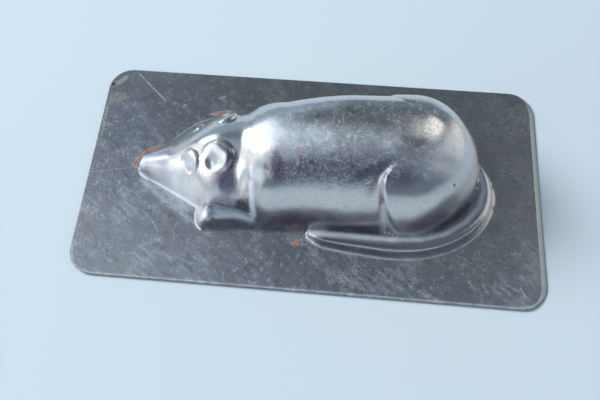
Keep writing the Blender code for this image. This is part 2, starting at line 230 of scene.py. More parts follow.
def body(x, y):
    """The back line's height times the wall function of the way out, past rump and nose too."""
    places = STATIONS[:, 0]
    near, back, far, high, fullness = (through(x, places, column) for column in STATIONS.T[1:])
    near_side = y < back
    half = np.where(near_side, back - near, far - back)
    lift = thigh_lift(x, np.abs(y - back) / half, near_side)
    across = (y - back) / (half + lift)
    rump_end = RUMP_END - RUMP_TRIM * smooth_step((y - RUMP_TRIM_FROM) / RUMP_TRIM_OVER)
    behind = np.clip((x - places[-1]) / (rump_end - places[-1]), 0.0, None)
    ahead = np.clip((NOSE_FROM - x) / (NOSE_FROM - NOSE_END), 0.0, None)
    reach = np.sqrt(across ** 2 + behind ** 2 + ahead ** 2)
    return (high + THIGH_RISE * lift) * wall(reach, fullness)


belly_height = body(np.array(14.0), np.array(8.0))
print("height of the back at the belly:", round(float(belly_height), 1), "mm")

# %% [markdown]
# Eyes and ears are small round discs with a dimple, standing proudest at the back and
# the top. They add to the height below them, so they follow the curve of the head.
# A row gives the middle, the half sizes, the lift and the way it leans, and then the
# dimple's middle, radius and depth.

# %% Eyes and ears
DISCS = (
    ((-33.4, -2.6), (6.1, 4.8), 2.5, (0.76, 0.74), (-35.4, -4.2), 2.8, 1.1),
    ((-44.5, -3.2), (3.6, 3.9), 1.4, (0.75, 0.65), (-44.2, -5.4), 1.6, 0.7),
    ((-34, 15.4), (5.6, 4.4), 2.4, (0.6, 0.2), (-33, 16.6), 3.4, 2),
    ((-45.2, 12.6), (3.2, 3), 1.4, (0.6, 0.2), (-44.6, 13.4), 1.6, 0.8),
)
DISC_EDGE, DISC_LEAST, DISC_TURN = 0.3, 0.05, 1.5


def disc(x, y, height, middle, half, lift, lean, pit, pit_radius, pit_depth):
    """Adds a disc whose lift grows towards its lean, then takes a smooth dimple from it."""
    u = (x - middle[0]) / half[0]
    v = (y - middle[1]) / half[1]
    reach = np.hypot(u, v)
    turned = (u * lean[0] + v * lean[1]) / np.maximum(reach, 1e-6)
    rise = smooth_step(0.5 + 0.5 * turned * np.clip(DISC_TURN * reach, 0.0, 1.0))
    edge = 1.0 - smooth_step((reach - 1.0) / DISC_EDGE + 0.5)
    height = height + lift * edge * (DISC_LEAST + (1.0 - DISC_LEAST) * rise)
    return height - pit_depth * (1.0 - smooth_step(np.hypot(x - pit[0], y - pit[1]) / pit_radius))


print("eyes and ears:", len(DISCS))

# %% [markdown]
# The tail leaves the far side of the rump, curls round it and runs back along the
# belly. The forearm lies along the cheek and ends in a blunt paw. Both are rounded
# cords: the height depends on how far a point is from the nearest place of a line. Each
# point of the line carries its place along and across, its half width and its height.

# %% Tail, forearm and paw
TAIL = (
    (62.6, 11, 3, 4.8), (65.8, 5, 4, 5.8), (67.2, -2, 4.4, 6.2),
    (65.6, -9.3, 4.5, 6.3), (60.6, -15.8, 4.6, 6.4), (52.6, -21.2, 4.5, 6.4),
    (43, -24.4, 4.4, 6.4), (32, -25.4, 4.3, 6.3), (22, -25.1, 4, 6.1),
    (12, -24.5, 3.6, 5.6), (5, -23.9, 2.7, 4.8), (2.2, -23.2, 1.8, 3.8),
)
FOREARM = (
    (-37, -18.2, 6.2, 9.8), (-31, -17.8, 6, 10.2), (-26, -17.9, 5.5, 9.8),
    (-21.5, -19.3, 4.2, 7.8), (-17, -21.6, 1.8, 4),
)
TAIL_SPREAD = 1.7
TAIL_FULLNESS = 2.6
FOREARM_FULLNESS = 1.6
PAW_FULLNESS = 3.6
PAW_SQUARE = 2.4
PAW_BLEND = 2.4
PAW_AT, PAW_HALF, PAW_HEIGHT, PAW_TILT, PAW_TURN = (-38.2, -19.0), (5.0, 5.6), 8.4, 0.7, 4.0
TAIL_POINTS, FOREARM_POINTS = 40, 14
TAIL_LINE = path(TAIL, TAIL_POINTS)
FOREARM_LINE = path(FOREARM, FOREARM_POINTS)


def nearest(x, y, line):
    """The distance to a line, the number of its pieces up to there, and the share of that
    distance that points to its right."""
    line = np.array(line, float)
    best = np.full(np.shape(x), 1e9)
    place = np.zeros(np.shape(x))
    side = np.zeros(np.shape(x))
    for i in range(len(line) - 1):
        start = line[i, :2]
        run = line[i + 1, :2] - start
        t = np.clip(((x - start[0]) * run[0] + (y - start[1]) * run[1]) / (run @ run), 0.0, 1.0)
        away = np.hypot(x - start[0] - t * run[0], y - start[1] - t * run[1])
        left = (run[0] * (y - start[1]) - run[1] * (x - start[0])) / math.sqrt(run @ run)
        nearer = away < best
        place = np.where(nearer, i + t, place)
        side = np.where(nearer, -left / np.maximum(away, 1e-6), side)
        best = np.minimum(away, best)
    return best, place, side


def cord(x, y, line, spread, fullness):
    """The line's height times the wall function of the distance over the half width, with
    the spread on its right."""
    away, place, side = nearest(x, y, line)
    order = np.arange(len(line))
    half = np.interp(place, order, line[:, 2]) * (1.0 + (spread - 1.0) * smooth_step(side))
    high = np.interp(place, order, line[:, 3])
    return high * wall(away / half, fullness)


def paw(x, y):
    """A turned, tilted block: the wall function of the root of two offsets' added powers."""
    turn = math.radians(PAW_TURN)
    dx = x - PAW_AT[0]
    dy = y - PAW_AT[1]
    u = (dx * math.cos(turn) + dy * math.sin(turn)) / PAW_HALF[0]
    v = (dy * math.cos(turn) - dx * math.sin(turn)) / PAW_HALF[1]
    reach = (np.abs(u) ** PAW_SQUARE + np.abs(v) ** PAW_SQUARE) ** (1.0 / PAW_SQUARE)
    high = PAW_HEIGHT + PAW_TILT * np.clip(dx, -PAW_HALF[0], PAW_HALF[0])
    return high * wall(reach, PAW_FULLNESS)


print("tail length:", round(float(np.hypot(*np.diff(TAIL_LINE[:, :2], axis=0).T).sum()), 1), "mm")

# %% [markdown]
# All of it together is the upper face of the sheet. Where limbs and body meet, the
# sheet can't make a sharp corner, so they meet in a small blend, and a wider fillet
# runs round the foot of the whole figure.

# %% The upper face of the sheet
SHEET = 0.8
LIMB_BLEND = 0.8
FOOT_BLEND = 2.0
SEARCH_STEP = 0.5
AREA_MARGIN = 1.6


def relief(x, y):
    """Height over the plate: the rounded maximum of body, limbs, tail and the flat plate."""
    height = body(x, y)
    for item in DISCS:
        height = disc(x, y, height, *item)
    limb = smooth_max(cord(x, y, FOREARM_LINE, 1.0, FOREARM_FULLNESS), paw(x, y), PAW_BLEND)
    height = smooth_max(height, limb, LIMB_BLEND)
    height = smooth_max(height, cord(x, y, TAIL_LINE, TAIL_SPREAD, TAIL_FULLNESS), LIMB_BLEND)
    return smooth_max(height, 0.0, FOOT_BLEND)


def raised_area():
    """The rectangle round every place where the sheet is raised, with a margin."""
    spans = [np.linspace(-0.5 * side, 0.5 * side, int(round(side / SEARCH_STEP)) + 1)
             for side in (plate_length, plate_width)]
    x, y = np.meshgrid(*spans, indexing="ij")
    raised = relief(x, y) > 0.0
    return (x[raised].min() - AREA_MARGIN, x[raised].max() + AREA_MARGIN,
            y[raised].min() - AREA_MARGIN, y[raised].max() + AREA_MARGIN)


plate_length, plate_width = (1000 * (cad_high - cad_low))[:2]
AREA = raised_area()
print("raised area in mm:", [round(float(side), 1) for side in AREA])

# %% [markdown]
# The underside is not a copy pushed down, because at a steep wall that would pinch
# the sheet thin. A sheet keeps its thickness square to its own face. So a ball slides
# with its middle on the upper face and the thickness as its radius, and the lowest
# points that it reaches are the underside. On an even table of heights that is a
# minimum over a few shifted copies, all done as whole arrays.

# %% Tables of heights for both faces
TABLE_CELL = SHEET / 4.0


def upper_table():
    """Heights of the upper face on an even table over the raised area."""
    left, right, low, top = AREA
    along = np.linspace(left, right, int((right - left) / TABLE_CELL) + 1)
    across = np.linspace(low, top, int((top - low) / TABLE_CELL) + 1)
    return relief(*np.meshgrid(along, across, indexing="ij"))


def under_table(upper):
    """The lower envelope of balls of that radius centred on the upper face."""
    reach = int(round(SHEET / TABLE_CELL))
    lowest = upper - SHEET
    for i in range(-reach, reach + 1):
        for j in range(-reach, reach + 1):
            spare = SHEET ** 2 - (i * i + j * j) * TABLE_CELL ** 2
            if spare > -1e-9:
                touch = np.roll(upper, (i, j), axis=(0, 1)) - math.sqrt(max(spare, 0.0))
                lowest = np.minimum(lowest, touch)
    return lowest + SHEET


UPPER = upper_table()
UNDER = under_table(UPPER)
print("tables:", UPPER.shape, "highest in mm:", UPPER.max().round(2), UNDER.max().round(2))

# %% [markdown]
# A plain square grid would have long, coarse cells on the steep walls, and a mirror
# shows every one of them. So the grid's points slide: each one moves towards the
# average of its neighbours, and a neighbour pulls harder the longer the edge to it
# is in space. After some rounds the cells are about even on the curved sheet.

# %% A grid that slides to the steep places
CELLS_ALONG = 272
CELLS_ACROSS = 138
SLIDES = 120
SLIDE_RATE = 0.3
LEAST_PULL = 0.02
HOP = 3
NEED_FLAT, NEED_RAISED, NEED_BENT, MOST_BEND = 0.3, 0.9, 2.0, 0.8


def lookup(table, x, y):
    """Reads a value between four neighbours of the table, weighted by how near each is."""
    left, right, low, top = AREA
    u = (x - left) / (right - left) * (table.shape[0] - 1)
    v = (y - low) / (top - low) * (table.shape[1] - 1)
    i = np.clip(u.astype(int), 0, table.shape[0] - 2)
    j = np.clip(v.astype(int), 0, table.shape[1] - 2)
    a = np.clip(u - i, 0.0, 1.0)
    b = np.clip(v - j, 0.0, 1.0)
    start = table[i, j] * (1 - b) + table[i, j + 1] * b
    end = table[i + 1, j] * (1 - b) + table[i + 1, j + 1] * b
    return start * (1 - a) + end * a


def detail(heights):
    """Asks for small cells: some where the sheet is raised, more by its bend, the second
    difference over a power of the steepness."""
    ahead, behind = np.roll(heights, -HOP, axis=0), np.roll(heights, HOP, axis=0)
    left, right = np.roll(heights, -HOP, axis=1), np.roll(heights, HOP, axis=1)
    step = HOP * TABLE_CELL
    bend = np.abs(ahead - 2.0 * heights + behind) + np.abs(left - 2.0 * heights + right)
    steep = 1.0 + ((ahead - behind) ** 2 + (left - right) ** 2) / (2.0 * step) ** 2
    sharp = np.clip(bend / step ** 2 / steep ** 1.5, 0.0, MOST_BEND)
    return NEED_FLAT + NEED_RAISED * (heights > 0.0) + NEED_BENT * sharp


def sliding_grid(heights):
    """Weighted averaging of neighbours, repeated; the weights are edge lengths in space."""
    left, right, low, top = AREA
    needs = detail(heights)
    x, y = np.meshgrid(np.linspace(left, right, CELLS_ALONG + 1),
                       np.linspace(low, top, CELLS_ACROSS + 1), indexing="ij")
    before = (slice(0, -1), slice(None)), (slice(None), slice(0, -1))
    after = (slice(1, None), slice(None)), (slice(None), slice(1, None))
    for _ in range(SLIDES):
        z = lookup(heights, x, y)
        need = lookup(needs, x, y)
        sum_x, sum_y, pull = np.zeros_like(x), np.zeros_like(x), np.zeros_like(x)
        for a, b in zip(before, after):
            length = np.sqrt((x[b] - x[a]) ** 2 + (y[b] - y[a]) ** 2 + (z[b] - z[a]) ** 2)
            weight = length * (need[a] + need[b]) * 0.5 + LEAST_PULL
            for one, other in ((a, b), (b, a)):
                sum_x[one] += weight * x[other]
                sum_y[one] += weight * y[other]
                pull[one] += weight
        goal_x, goal_y = sum_x / pull, sum_y / pull
        goal_x[0, :], goal_x[-1, :] = left, right
        goal_y[:, 0], goal_y[:, -1] = low, top
        x = x + SLIDE_RATE * (goal_x - x)
        y = y + SLIDE_RATE * (goal_y - y)
    return x, y, lookup(heights, x, y)


upper_grid = sliding_grid(UPPER)
under_grid = sliding_grid(UNDER)
print("points on each face:", upper_grid[0].size)

# %% [markdown]
# Round the raised area lies the flat flange. Its rings run from the rectangle round
# the mouse out to the plate's rounded outline. There the sheet was cut by a shear,
# which leaves an edge that is a little rounded on top and square below. Along the right
# end the blade has dragged the sheet down, so its edge is a wider slope there. The same
# rings come back along the underside, so the sheet is one closed skin.

# %% Flange and sheared edge
CORNER_RADIUS = 10.0
FLANGE_RINGS = 7
EDGE_ROUND = 0.36
EDGE_STEPS = 5
EDGE_FOOT = 0.05
ROLL_WIDTH, ROLL_DROP, ROLL_FROM = 1.8, 0.46, 84.0
RIM_FROM = 1.3
RIM_INSETS = (0.8, 0.4, 0.05)


def border(grid):
    """The outer points of a grid, anticlockwise, as an array of places along and across."""
    sides = [np.concatenate([part[:-1, 0], part[-1, :-1], part[:0:-1, -1], part[0, :0:-1]])
             for part in grid]
    return np.stack(sides, axis=1)


def outline_at(ring, inset):
    """Ring places spread to the plate's rectangle, and in its corners drawn in to a circle."""
    inset = np.reshape(inset, (-1, 1))
    half = 0.5 * np.array([plate_length, plate_width]) - inset
    round_at = CORNER_RADIUS - inset
    least, most = np.reshape(AREA, (2, 2)).T
    square = (ring[:, :2] - 0.5 * (least + most)) / (0.5 * (most - least)) * half
    over = np.abs(square) - (half - round_at)
    both = (over > 0.0).all(axis=1)
    away = np.linalg.norm(over, axis=1)
    reach = np.maximum(over[:, 0], over[:, 1])
    scale = np.where(both, reach / np.maximum(away, 1e-9), 1.0)
    pulled = np.sign(square) * ((half - round_at) + over * scale[:, None])
    return np.where(both[:, None], pulled, square)


def with_height(flat, z):
    """Flat places with one height, or one for each."""
    return np.column_stack([flat, np.broadcast_to(z, len(flat))])


def edge_rings(upper_ring, under_ring):
    """Rings over the flange, down the edge and back below. The edge is a quarter circle,
    and turns into a wide straight slope towards the right end."""
    rings = []
    along = outline_at(upper_ring, 0.0)[:, 0]
    roll = smooth_step((along - ROLL_FROM) / (0.5 * plate_length - ROLL_FROM))
    width = EDGE_ROUND + (ROLL_WIDTH - EDGE_ROUND) * roll
    fall = EDGE_ROUND + (ROLL_DROP - EDGE_ROUND) * roll
    rim = outline_at(upper_ring, width + RIM_FROM)
    for step in range(1, FLANGE_RINGS + 1):
        share = step / FLANGE_RINGS
        rings.append(with_height(upper_ring[:, :2] * (1 - share) + rim * share, SHEET))
    for inset in RIM_INSETS:
        rings.append(with_height(outline_at(upper_ring, width + inset), SHEET))
    for step in range(EDGE_STEPS + 1):
        share = step / EDGE_STEPS
        angle = 0.5 * math.pi * share
        inset = width * (1.0 - math.sin(angle) * (1.0 - roll) - share * roll)
        drop = fall * ((1.0 - math.cos(angle)) * (1.0 - roll) + share * roll)
        rings.append(with_height(outline_at(upper_ring, inset), SHEET - drop))
    rings.append(with_height(outline_at(upper_ring, 0.0), EDGE_FOOT))
    foot = outline_at(upper_ring, EDGE_FOOT)
    rings.append(with_height(foot, 0.0))
    for step in range(1, FLANGE_RINGS):
        share = step / FLANGE_RINGS
        rings.append(with_height(foot * (1 - share) + under_ring[:, :2] * share, 0.0))
    return np.stack(rings)


rings = edge_rings(border(upper_grid), border(under_grid))
print("rings and points:", rings.shape[:2], "length in mm:", np.ptp(rings[..., 0]).round(2))

# %% [markdown]
# The points of both faces and of the rings go into one mesh, and a cell of a grid and
# its three neighbours make a quad. The object stands at the origin, so that patterns
# made from its coordinates stay where they are.

# %% The sheet as one mesh
SHARP_FROM = math.radians(50.0)


def grid_quads(numbers, wrap=False):
    """Every cell of a table of point numbers as a quad, closed round when wrapped."""
    if wrap:
        numbers = np.concatenate([numbers, numbers[:, :1]], axis=1)
    corners = (numbers[:-1, :-1], numbers[1:, :-1], numbers[1:, 1:], numbers[:-1, 1:])
    return np.stack([corner.ravel() for corner in corners], axis=1)


def add_mesh(name, points, faces):
    """An object at the origin with the points, in millimetres, and the faces as its mesh."""
    mesh = bpy.data.meshes.new(name)
    mesh.from_pydata((points * MM).tolist(), [], faces)
    item = bpy.data.objects.new(name, mesh)
    bpy.context.scene.collection.objects.link(item)
    return item


def make_sheet():
    """One closed skin: upper grid, rings, and the under grid facing down."""
    shape = upper_grid[0].shape
    count = upper_grid[0].size
    upper = np.stack(upper_grid, axis=-1).reshape(-1, 3) + (0.0, 0.0, SHEET)
    under = np.stack(under_grid, axis=-1).reshape(-1, 3)
    points = np.concatenate([upper, rings.reshape(-1, 3), under])
    upper_numbers = np.arange(count).reshape(shape)
    ring_numbers = count + np.arange(rings.shape[0] * rings.shape[1]).reshape(rings.shape[:2])
    under_numbers = upper_numbers + count + ring_numbers.size
    start = border((upper_numbers,))[:, 0]
    end = border((under_numbers,))[:, 0]
    belt = np.concatenate([start[None], ring_numbers, end[None]])
    quads = np.concatenate([grid_quads(upper_numbers), grid_quads(belt, wrap=True),
                            grid_quads(under_numbers)[:, ::-1]])
    sheet = add_mesh("pressed_sheet", points, quads.tolist())
    sheet.data.shade_smooth()
    sheet.data.set_sharp_from_angle(angle=SHARP_FROM)
    return sheet


sheet = make_sheet()
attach(sheet, "root")
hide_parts("mould_sheet")
print("triangles:", 2 * len(sheet.data.polygons))

# %% [markdown]
# Materials in Blender are graphs of nodes. Long graphs are easier to read as sums and
# products, so a small class wraps a node's output and lets the usual signs work on it.
# Each sign adds one Math node, and one method adds any other kind of node.

# %% Shader maths


class Wire:
    """A node's output in a graph, or the graph alone; + - * on wires add Math nodes."""

    def __init__(self, tree, socket=None):
        self.tree = tree
        self.socket = socket

    def node(self, kind, settings=None, inputs=None, out=0):
        """Adds a ShaderNode of a kind: settings first, then links or values; gives an output."""
        made = self.tree.nodes.new("ShaderNode" + kind)
        for name, value in (settings or {}).items():
            setattr(made, name, value)
        for name, value in (inputs or {}).items():
            if isinstance(value, Wire):
                self.tree.links.new(value.socket, made.inputs[name])
            else:
                made.inputs[name].default_value = value
        return Wire(self.tree, made.outputs[out] if made.outputs else None)

    def sign(self, operation, first, second):
        """One Math node with two inputs."""
        return self.node("Math", {"operation": operation}, {0: first, 1: second})

    def __add__(self, other):
        return self.sign("ADD", self, other)

    __radd__ = __add__

    def __sub__(self, other):
        return self.sign("SUBTRACT", self, other)

    def __rsub__(self, other):
        return self.sign("SUBTRACT", other, self)

    def __mul__(self, other):
        return self.sign("MULTIPLY", self, other)

    __rmul__ = __mul__

    def between(self, low, high, start=0.0, end=1.0):
        """Goes smoothly from start to end while the value goes from low to high."""
        return self.node("MapRange", {"interpolation_type": "SMOOTHSTEP"},
                         {0: self, 1: low, 2: high, 3: start, 4: end})

    def mix(self, first, second):
        """A colour between two, by this value."""
        return self.node("Mix", {"data_type": "RGBA"}, {0: self, 6: first, 7: second}, out=2)

    def noise(self, size, detail=3.0, rough=0.55, warp=0.0):
        """Noise whose lumps are about size millimetres across, around one half."""
        return self.node("TexNoise", None, {"Vector": self, "Scale": 1.0 / size, "Detail": detail,
                                            "Roughness": rough, "Distortion": warp})

    def vector(self, operation, second, out=0):
        """One Vector Math node."""
        return self.node("VectorMath", {"operation": operation}, {0: self, 1: second}, out)


print("signs that work on a wire:", "+ - *")

# %% [markdown]
# Tinned steel is a mirror that has gone dull. Where the tin is worn through, the steel
# rusts orange: round the nose, above the far ear, beside the head, on the back and by
# the tail tip. Some places have only tarnished to tan. Purple-grey patches on the lower
# sides are partly stains and partly painted shade, behind the eye, by the jaw, under the
# flank and under the rump, and a few dark spots are painted shade, in the hollow of the
# eye, low on the shoulder and at the thigh's edge. They could be painted in a texture,
# but a table of ellipses is easier to change: middle, half sizes, turn, strength. A
# scratch is two ends and a strength.

# %% Masks for spots and scratches
RUST = (
    ("far ear", -39.6, 26.6, 4.8, 0.9, 14, 1.2), ("tail tip", -3.7, -26.4, 1.6, 1.1, 0, 9),
    ("back", -2.4, -1.9, 0.7, 1.6, 30, 1.2), ("foot", -6.5, -23.4, 2.4, 0.5, 0, 0.7),
    ("beside the head", -55.6, 28.8, 0.9, 0.8, 30, 0.8),
)
RUST_LINE = ((-71.6, 0.6), (-70.4, 3.6), (-68, 6.2), (-65.4, 8.2), (-61.6, 9.6))
TARNISH = (
    ("corner", -85, 39.2, 4.4, 1.3, 47, 1), ("corner", -84.6, 30.5, 4.4, 3.4, 20, 0.45),
    ("left edge", -88.4, 20, 0.9, 9, 0, 0.6), ("far ear", -40.2, 33.9, 1.6, 0.9, 30, 0.7),
    ("right side", 82.9, -20.4, 0.8, 0.7, 0, 0.9), ("right side", 79.6, -24.2, 2.4, 0.6, 0, 0.5),
)
BROWN = (
    ("corner", -88.2, 37, 1.2, 1.5, 20, 1), ("dot", 49.5, -8.7, 0.7, 0.5, 20, 1),
)
# Purple-grey stains, partly painted shade: they darken the lower near side behind the eye, by the jaw and
# under the flank and the rump.
STAINS_AND_SHADE = (
    ("behind the eye", -28.2, -5.6, 1.6, 5, 0, 0.9), ("jaw", -29.6, -11, 3.8, 4.2, 20, 1.1),
    ("shoulder", -10.6, -7, 2.6, 5.2, 10, 1), ("flank", 21.5, -7.6, 8, 1.8, 24, 0.9),
    ("under the flank", 6, -20.6, 19, 1.6, 0, 0.7),
    ("under the rump", 45.5, -18, 11, 2.8, 15, 0.8),
    ("under the rump", 57.5, -11.2, 6, 2.8, 44, 0.8),
    ("thigh", 31.5, -9.5, 5, 3.4, 20, 0.5),
)
# Painted shade: dark spots in the hollow of the eye, low on the shoulder and at the thigh's edge. They
# also take away some haze.
DARK_SHADE_SPOTS = (
    ("eye", -33.6, -2, 3.4, 3, 0, 0.55), ("low on the shoulder", -17, -9.2, 3.8, 4.6, 0, 0.8),
    ("thigh edge", 25.4, -9.6, 1.8, 4.2, -14, 0.5),
)
SCRATCHES = (
    (-77.9, 42.9, -64.2, 30.6, 2), (-89.2, -4.1, -70.5, -0.4, 1), (-64.1, -19, -60, -22.6, 1.4),
    (-60, -22.6, -57.1, -26.5, 1.4), (80.4, -36.9, 82, -40, 1.2), (61.4, -35.8, 64.2, -39.4, 0.9),
    (64.6, -38, 66.6, -41.2, 0.7), (66.6, -36.4, 68.4, -39.6, 0.8), (76, -36.3, 78.2, -37.4, 0.8),
    (56.6, -25.6, 58.6, -28.2, 0.8), (84, -34, 85.4, -35.2, 0.9), (-76.9, -35, -75.8, -37.4, 1.2),
    (-47.8, -40.9, -43, -38.4, 0.9), (-42.6, -38.2, -40.6, -37, 0.9),
)
SPOT_FADE = (1.25, 0.45)
HAIR_FADE = (0.63, 0.72)


def stretched(place, turn, length, width, middle=(0.0, 0.0, 0.0)):
    """The place from a middle, turned, over a length one way and a width the other ways."""
    return place.node("Mapping", {"vector_type": "TEXTURE"}, {
        "Vector": place, "Location": middle, "Rotation": (0.0, 0.0, math.radians(turn)),
        "Scale": (length, width, width)})


def spot(place, x, y, half_x, half_y, turn):
    """One in the middle of a turned ellipse and nothing outside it."""
    turned = stretched(place, turn, half_x, half_y, (x, y, 0.0))
    return turned.vector("LENGTH", (0.0, 0.0, 0.0), out=1).between(*SPOT_FADE)


def spots(place, table):
    """The sum of all spots of a table, each times its strength."""
    return sum(spot(place, *ellipse) * strength for _, *ellipse, strength in table)


def scratch(place, x1, y1, x2, y2, width):
    """One at the nearest place of a line between two ends, fading with the distance."""
    run = (x2 - x1, y2 - y1, 0.0)
    away = place.vector("SUBTRACT", (x1, y1, 0.0))
    share = away.vector("DOT_PRODUCT", run, out=1) * (1.0 / (run[0] ** 2 + run[1] ** 2))
    share = share.node("Clamp", None, {0: share})
    on_line = share.node("VectorMath", {"operation": "SCALE"}, {0: run, "Scale": share})
    return away.vector("DISTANCE", on_line, out=1).between(width, 0.3 * width)


def hairs(place, turn, length, width, warp=0.0):
    """Thin streaks in one direction: noise stretched far along it and cut near its top."""
    return stretched(place, turn, length, width).noise(1.0, 2.0, 0.5, warp).between(*HAIR_FADE)


print("rust spots:", len(RUST), "stains:", len(STAINS_AND_SHADE), "scratches:", len(SCRATCHES))

# %% [markdown]
# Hands rub the proud places first, and there the metal looks pale and satin: along the
# tail, the forearm and the near rim, on the face and the paw, and in frosted patches on
# the back and the rump. The thin pale lines along the foot of the cheek and of the tail,
# round the small eye's edge and partly along the near rim are painted highlights. Each
# point of the mesh gets its wear and sheen from its distance to a few lines on the
# figure. Two more numbers mark the cut of the edge, dark partly as painted shadow, and
# its slope, dark as painted shade.

# %% Worn lines
TAIL_FOOT_OUT = 0.3


def tail_foot():
    """The outer foot of the tail: its line moved to its left by a little over its half width."""
    run = np.gradient(TAIL_LINE[:, :2], axis=0)
    run = run / np.linalg.norm(run, axis=1)[:, None]
    left = np.stack([-run[:, 1], run[:, 0]], axis=1)
    return TAIL_LINE[:, :2] + left * (TAIL_LINE[:, 2:3] + TAIL_FOOT_OUT)


# Wear and painted highlight: the lines along the foot of the cheek and the tail, round the small eye's
# edge and partly the near rim paint thin bright lines; the rest is rubbed tin.
WORN_AND_SHEEN = (
    ("tail", 2, 1, ((3, -23.2), (12, -23.6), (22, -23.9), (32, -24), (43, -23), (52, -20),
                     (59.4, -14.8), (64.4, -8.6), (66.4, -2), (65.2, 5))),
    ("thigh", 1.8, 0.6, ((26.4, -16.6), (27.6, -18.6), (28.6, -20.4))),
    ("forearm", 2.2, 0.7, ((-40, -20), (-34, -19.5), (-27, -19.4), (-21, -20.4))),
    ("tail tip", 2.6, 1, ((2.6, -22.6), (7, -22.9))),
    ("shoulder", 1.7, 0.75, ((-19.8, -11.6), (-19.9, -15.6), (-19.4, -19.4))),
    ("foot of the cheek", 2.6, 0.5, ((-67, -6), (-60, -11.2), (-52, -16.2), (-45.6, -20.6))),
    ("near rim", 0.6, 0.65, ((-89.2, -35), (-88.3, -39.2), (-86.6, -41.6), (-84, -43.4), (-80, -44.3),
                             (80, -44.3), (84, -43.4), (86.6, -41.6), (88.3, -39.2))),
    ("foot of the cheek", 0.8, 1, ((-68.2, -3.4), (-63.7, -5.5), (-58.3, -7.9), (-50.8, -11.5),
                                   (-46.2, -14.3))),
    ("top of the forearm", 2.8, 0.9, ((-38, -13.2), (-32.4, -13.4), (-27.8, -14.2))),
    ("cheek", 9, 0.8, ((-60, -3), (-53, -8), (-47, -12))),
    ("snout", 3.8, 1, ((-66.5, -0.6), (-61, -0.8))),
    ("small eye", 3, 0.5, ((-44.8, -3.4), (-43.4, -3.8))),
    ("small eye", 1.3, 0.7, ((-42, -0.9), (-41.2, -3.4), (-41.6, -5.8))),
    ("paw", 2.2, 1, ((-38.4, -20.4), (-36.6, -21))),
    ("eye", 4.2, 0.5, ((-34.6, -3.2), (-32.6, -3))),
    ("paw", 4.5, 0.5, ((-41.5, -17.5), (-40.5, -21.5))),
    ("back", 8, 0.70, ((-15, 5), (-6, 2.6), (6, 1.9))),
    ("back", 7.5, 0.45, ((4, 2), (16, 2.2), (26, 2.4))),
    ("rump", 13, 0.5, ((46, -3), (54, -3))),
    ("foot of the tail", 0.6, 0.7, tail_foot()),
)
WORN_AND_SHEEN_ABOVE = SHEET - 0.3
CUT_RINGS = 4
SLOPE_OVER = 3.0
SLOPE_POWER = 0.4
SLOPE_HIDES = 0.8


def wear_of(x, y, z):
    """The strongest line's strength, faded out over its width, on the upper side alone."""
    wear = np.zeros(len(x))
    for _, width, strength, line in WORN_AND_SHEEN:
        away, _, _ = nearest(x, y, line)
        wear = np.maximum(wear, strength * (1.0 - smooth_step(away / width)))
    upper = np.arange(len(x)) < upper_grid[0].size + rings[..., 0].size
    return np.where((z > WORN_AND_SHEEN_ABOVE) & upper, wear, 0.0)


def edge_masks(x):
    """One on the rings of the cut; and a number that grows over the slope and stays below."""
    ring_size = rings.shape[1]
    rim_from = upper_grid[0].size + (FLANGE_RINGS + len(RIM_INSETS)) * ring_size
    cut_from = rim_from + EDGE_STEPS * ring_size
    cut = np.zeros(len(x))
    cut[cut_from - ring_size:cut_from + (CUT_RINGS - 1) * ring_size] = 1.0
    edge = np.zeros(len(x))
    edge[rim_from:] = smooth_step((x[rim_from:] - ROLL_FROM) / SLOPE_OVER)
    growing = np.linspace(0.0, 1.0, EDGE_STEPS) ** SLOPE_POWER
    edge[rim_from:cut_from] *= np.repeat(growing, ring_size)
    return cut * (1.0 - SLOPE_HIDES * edge), edge


def add_wear(piece):
    """Stores the wear and painted sheen, the cut and the slope of each point as numbers on the mesh."""
    places = np.zeros(3 * len(piece.data.vertices), np.float32)
    piece.data.vertices.foreach_get("co", places)
    x, y, z = places.reshape(-1, 3).T / MM
    wear = wear_of(x, y, z)
    cut, edge = edge_masks(x)
    for name, values in (("wear", wear), ("cut", cut), ("edge", edge)):
        attribute = piece.data.attributes.new(name, "FLOAT", "POINT")
        attribute.data.foreach_set("value", values.astype(np.float32))
    return wear


wear = add_wear(sheet)
print("points with wear:", int((wear > 0.05).sum()), "of", len(wear))

# %% [markdown]
# One material covers the sheet, built up in layers. First come the patterns that the
# rest is made of: patches, mottling and grain as noises of a known size, diagonal
# streaks left by wiping, hairlines, and the masks of the spots. A small class keeps
# them together, so that each is made once and used where needed.

# %% Patterns on the sheet
RAGGED_SCALE, RAGGED_SHIFT = 0.45, 1.5
RUST_LINE_WIDTH = 1.1
SCRATCH_WIDTH = 0.32
HAIRLINES = ((24, 5), (-38, 4), (96, 3))
HAIRLINE_WIDTH = 0.16
WIPED_TURN, WIPED_LENGTH, WIPED_WIDTH = -36.0, 6.0, 1.7
DRAWN_SPOT = (-55, -16.5, 13, 5.5, -28)
PEEL_SPOT = (9, -7.6, 24, 6, 2)
FROST_SPOT = (-2, -25.4, 7, 2.6, 0)


